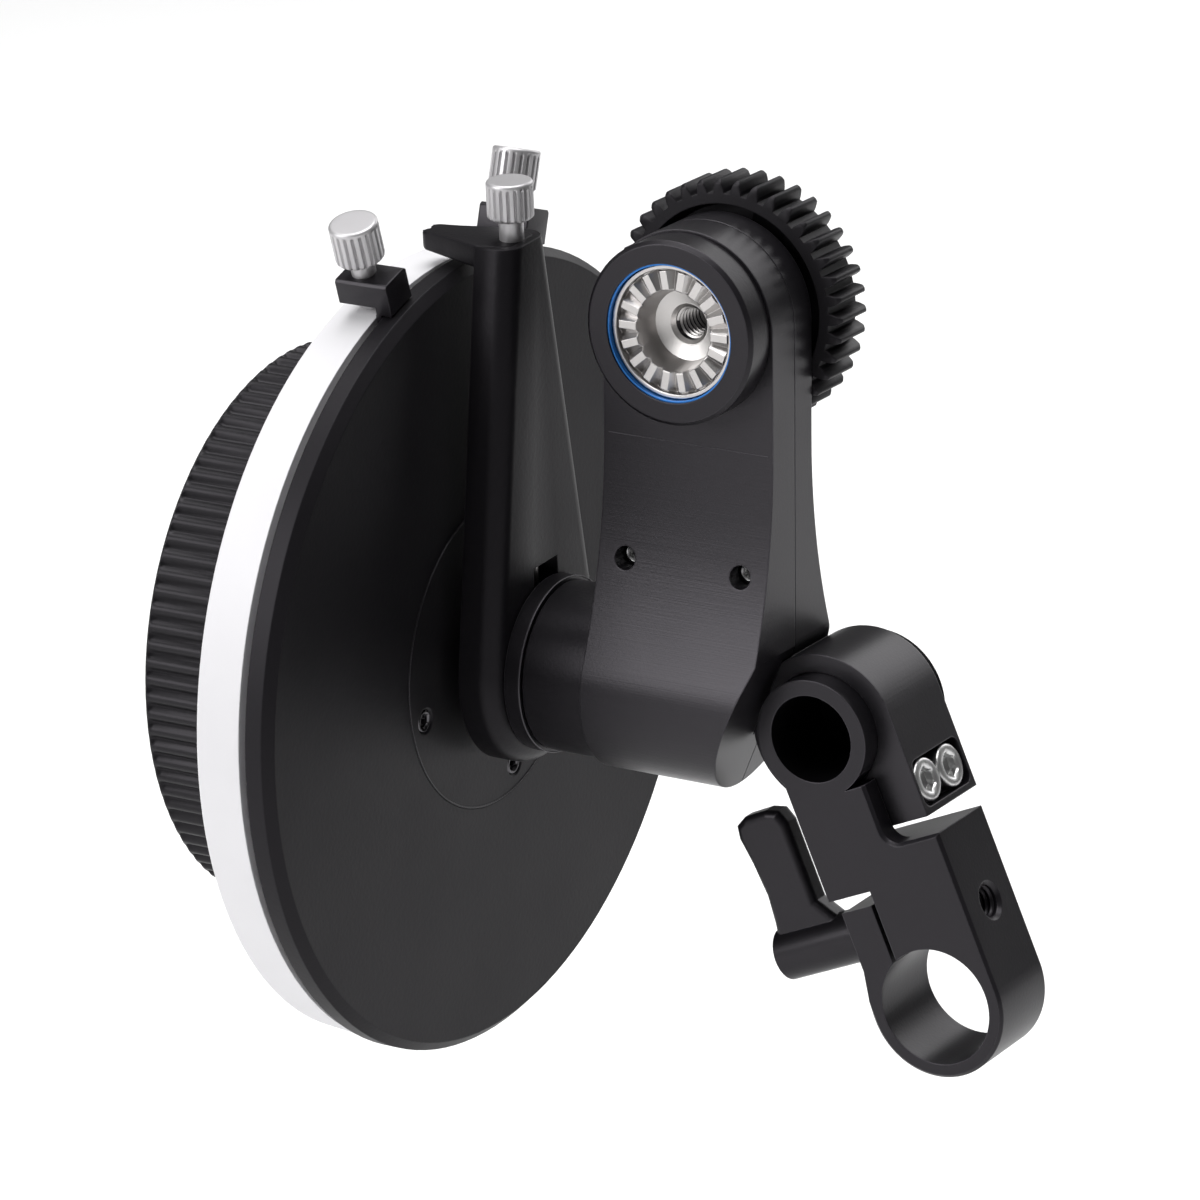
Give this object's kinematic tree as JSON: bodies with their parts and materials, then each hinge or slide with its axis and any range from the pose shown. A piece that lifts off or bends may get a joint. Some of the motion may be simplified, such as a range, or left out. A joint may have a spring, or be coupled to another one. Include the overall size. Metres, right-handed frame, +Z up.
{
  "type": "follow focus unit",
  "caption": "Handwheel with hard stops that turns a toothed lens drive gear through a bevel train in an arm on a rod clamp.",
  "frame": {"origin": "centre of the rod bore, halfway along the clamp's width", "axes": "+Y along the rod and the drive gear's axle, from the drive port to the gear; +X along the handwheel's axle, away from the wheel; +Z up from the clamp to the drive gear"},
  "size_m": [0.1048, 0.1038, 0.1164],
  "materials": {
    "black_anodised": "satin black anodised",
    "white_ring": "matt white, writable",
    "ribbed_grip": "fine ribs, satin",
    "black_nylon": "moulded, satin",
    "stainless": "turned, bright",
    "screw_steel": "bright",
    "blue_anodised": "satin blue anodised",
    "bronze": "sintered"
  },
  "bodies": {
    "clamp": {"rod_clamp": "black_anodised", "spigot_plug": "black_anodised"},
    "lever": {"clamp_lever": "black_anodised", "lever_screw": "screw_steel"},
    "arm": {"front_cover": "black_anodised", "rear_housing": "black_anodised", "lug_screws": "screw_steel", "cover_screws": "screw_steel", "front_bezel": "black_anodised", "blue_ring": "blue_anodised", "front_bush": "bronze", "rear_bush": "bronze", "lay_bushes": "bronze", "hub_tube": "black_anodised", "hub_collar": "black_anodised", "retaining_ring": "stainless", "axle_bushes": "bronze"},
    "drive": {"drive_shaft": "stainless", "drive_gear": "black_nylon", "gear_washer": "screw_steel", "gear_screw": "screw_steel", "drive_bevel": "screw_steel"},
    "layshaft": {"lay_shaft": "stainless", "low_pinion": "screw_steel", "high_pinion": "screw_steel"},
    "wheel": {"wheel_disc": "black_anodised", "marking_ring": "white_ring", "hand_grip": "ribbed_grip", "hub_plate": "black_anodised", "hub_plate_screws": "screw_steel", "wheel_axle": "stainless", "wheel_bevel": "screw_steel", "knob_cover": "black_anodised"},
    "index": {"index_arm": "black_anodised", "lock_rod": "stainless"},
    "index_screw": {"index_screw": "stainless"},
    "stop_a": {"stop_a": "black_anodised"},
    "stop_a_screw": {"stop_screw_a": "stainless"},
    "stop_b": {"stop_b": "black_anodised"},
    "stop_b_screw": {"stop_screw_b": "stainless"}
  },
  "joints": [
    {"name": "arm_swing", "type": "hinge", "parent": "clamp", "child": "arm", "pos_m": [-0.01745, 0, 0.03211], "axis": [0, -1, 0], "range_deg": [-11, 16]},
    {"name": "lever_turn", "type": "hinge", "parent": "clamp", "child": "lever", "pos_m": [-0.00403, 0, 0.00926], "axis": [0.9171, 0, 0.3987], "range_deg": [0, 270]},
    {"name": "wheel_turn", "type": "hinge", "parent": "arm", "child": "wheel", "pos_m": [-0.06, -0.00105, 0.0342], "axis": [1, 0, 0], "range_deg": [-7, 11]},
    {"name": "index_swing", "type": "hinge", "parent": "arm", "child": "index", "pos_m": [-0.06, -0.00105, 0.0342], "axis": [1, 0, 0], "range_deg": [-3, 3]},
    {"name": "layshaft_turn", "type": "hinge", "parent": "arm", "child": "layshaft", "pos_m": [-0.0347, -0.00105, 0.058], "axis": [0, 0, 1], "range_deg": [-20, 31]},
    {"name": "drive_turn", "type": "hinge", "parent": "arm", "child": "drive", "pos_m": [-0.0347, 0, 0.08281], "axis": [0, 1, 0], "range_deg": [-11.5, 7.5]},
    {"name": "index_screw_turn", "type": "hinge", "parent": "index", "child": "index_screw", "pos_m": [-0.0607, -0.00105, 0.0342], "axis": [0, -0.0558, 0.9984], "range_deg": [0, 360]},
    {"name": "stop_a_move", "type": "hinge", "parent": "wheel", "child": "stop_a", "pos_m": [-0.0704, -0.00105, 0.0342], "axis": [1, 0, 0], "range_deg": [0, 150]},
    {"name": "stop_a_screw_turn", "type": "hinge", "parent": "stop_a", "child": "stop_a_screw", "pos_m": [-0.0729, -0.00105, 0.0342], "axis": [0, -0.3206, 0.9472], "range_deg": [0, 360]},
    {"name": "stop_b_move", "type": "hinge", "parent": "wheel", "child": "stop_b", "pos_m": [-0.0704, -0.00105, 0.0342], "axis": [1, 0, 0], "range_deg": [-150, 0]},
    {"name": "stop_b_screw_turn", "type": "hinge", "parent": "stop_b", "child": "stop_b_screw", "pos_m": [-0.0729, -0.00105, 0.0342], "axis": [0, 0.2857, 0.9583], "range_deg": [0, 360]}
  ],
  "couplings": [
    {"joint": "layshaft_turn", "follows": "wheel_turn", "ratio": 2.8},
    {"joint": "drive_turn", "follows": "wheel_turn", "ratio": -1}
  ]
}
